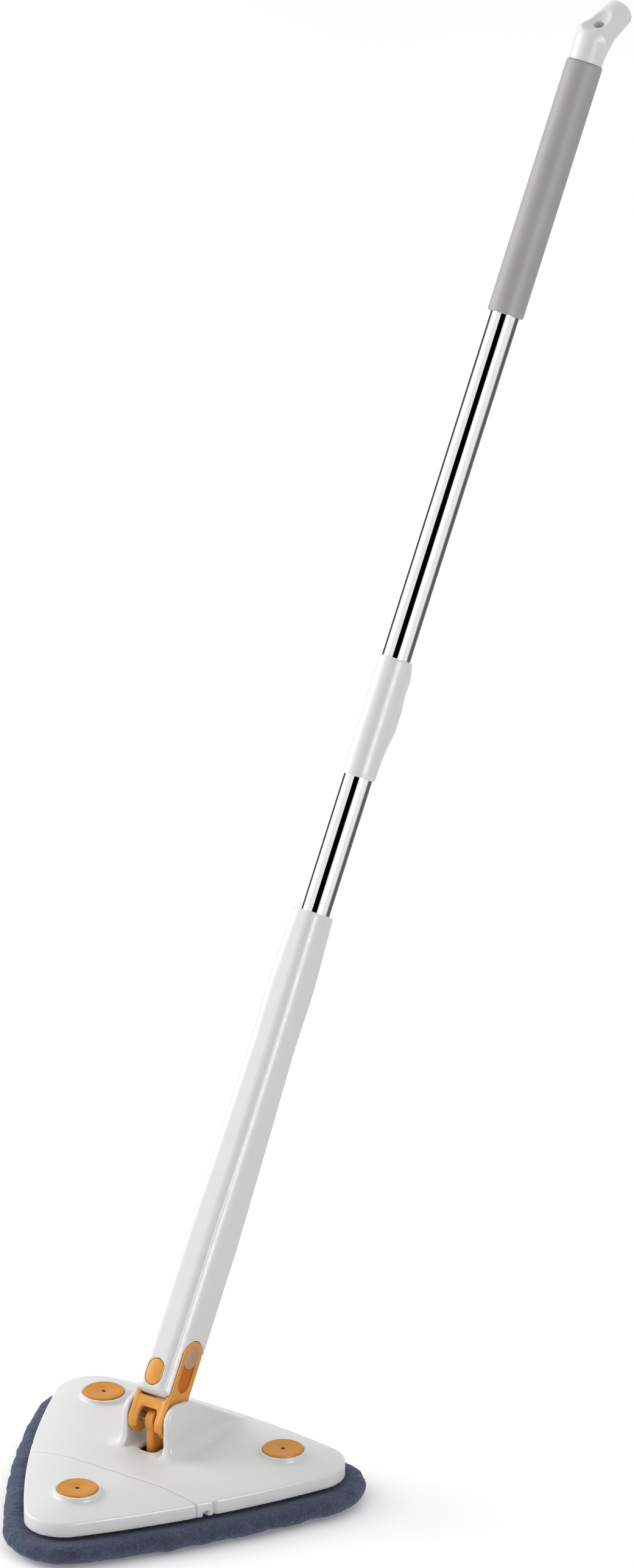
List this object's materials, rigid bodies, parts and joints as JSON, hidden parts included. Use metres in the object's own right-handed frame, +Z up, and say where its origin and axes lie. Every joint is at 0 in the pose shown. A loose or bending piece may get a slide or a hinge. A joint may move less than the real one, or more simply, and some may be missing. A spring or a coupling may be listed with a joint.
{
  "type": "flat mop",
  "caption": "Triangular flat mop with a plush pad, a folding corner, a fork joint, a sliding sleeve and a jointed steel pole.",
  "frame": {"origin": "centre of the pad's underside, below the centre of the triangular plate", "axes": "+Z up, the folding corner points to -Y, the pole leans back towards +Y, +X is the tilt pin's axis"},
  "size_m": [0.3236, 0.8521, 1.1497],
  "materials": {
    "white_plastic": "satin gloss moulding",
    "orange_plastic": "satin moulding",
    "disc_plastic": "satin moulding",
    "tube_steel": "polished",
    "grip_foam": "matt foam",
    "inner_plastic": "matt",
    "pin_steel": "turned",
    "buffer_rubber": "matt",
    "hook_tape": "hooked",
    "plush": "microfibre plush",
    "rivet_bronze": "turned, bronzed",
    "dark_screw": "blackened"
  },
  "bodies": {
    "handle": {"end_cap": "white_plastic", "foam_grip": "grip_foam", "upper_tube": "tube_steel", "collar": "white_plastic", "tube_joiner": "inner_plastic", "lower_tube": "tube_steel", "tube_plug": "inner_plastic", "plug_washer": "pin_steel", "plug_screw": "pin_steel"},
    "carrier": {"slide_bush": "inner_plastic"},
    "sleeve": {"sleeve_housing": "white_plastic", "sleeve_front_cover": "white_plastic", "guide_bush": "white_plastic", "stop_buffer": "buffer_rubber", "lock_spring": "pin_steel"},
    "button": {"lock_button": "orange_plastic"},
    "fork": {"fork": "orange_plastic", "fork_pin": "rivet_bronze"},
    "head": {"head_plate": "white_plastic", "head_under_plate": "white_plastic", "head_screws": "pin_steel", "centre_lug": "orange_plastic", "tilt_pin": "pin_steel", "disc_left": "disc_plastic", "disc_right": "disc_plastic", "disc_screws": "dark_screw", "hook_tape_head": "hook_tape", "pad_main": "plush", "fold_pins": "pin_steel"},
    "corner": {"corner_plate": "white_plastic", "corner_under_plate": "white_plastic", "corner_screws": "pin_steel", "disc_front": "disc_plastic", "disc_front_screw": "dark_screw", "hook_tape_corner": "hook_tape", "pad_corner": "plush"}
  },
  "joints": [
    {"name": "pole_twist", "type": "hinge", "parent": "handle", "child": "carrier", "pos_m": [0, 0, 0.0676], "axis": [0, 0.5105, 0.8599], "continuous": true},
    {"name": "sleeve_slide", "type": "slide", "parent": "carrier", "child": "sleeve", "axis": [0, 0.5105, 0.8599], "range_m": [0, 0.12]},
    {"name": "lock_press", "type": "slide", "parent": "sleeve", "child": "button", "axis": [0, 0.8599, -0.5105], "range_m": [0, 0.003], "stiffness_N_per_m": 800, "springref_m": -0.004},
    {"name": "fork_fold", "type": "hinge", "parent": "sleeve", "child": "fork", "pos_m": [0, 0.03012, 0.11833], "axis": [1, 0, 0], "range_deg": [0, 45]},
    {"name": "head_tilt", "type": "hinge", "parent": "fork", "child": "head", "pos_m": [0, 0, 0.0676], "axis": [1, 0, 0], "range_deg": [-75, 25]},
    {"name": "corner_fold", "type": "hinge", "parent": "head", "child": "corner", "pos_m": [0, -0.0515, 0.025], "axis": [1, 0, 0], "range_deg": [0, 90]}
  ]
}
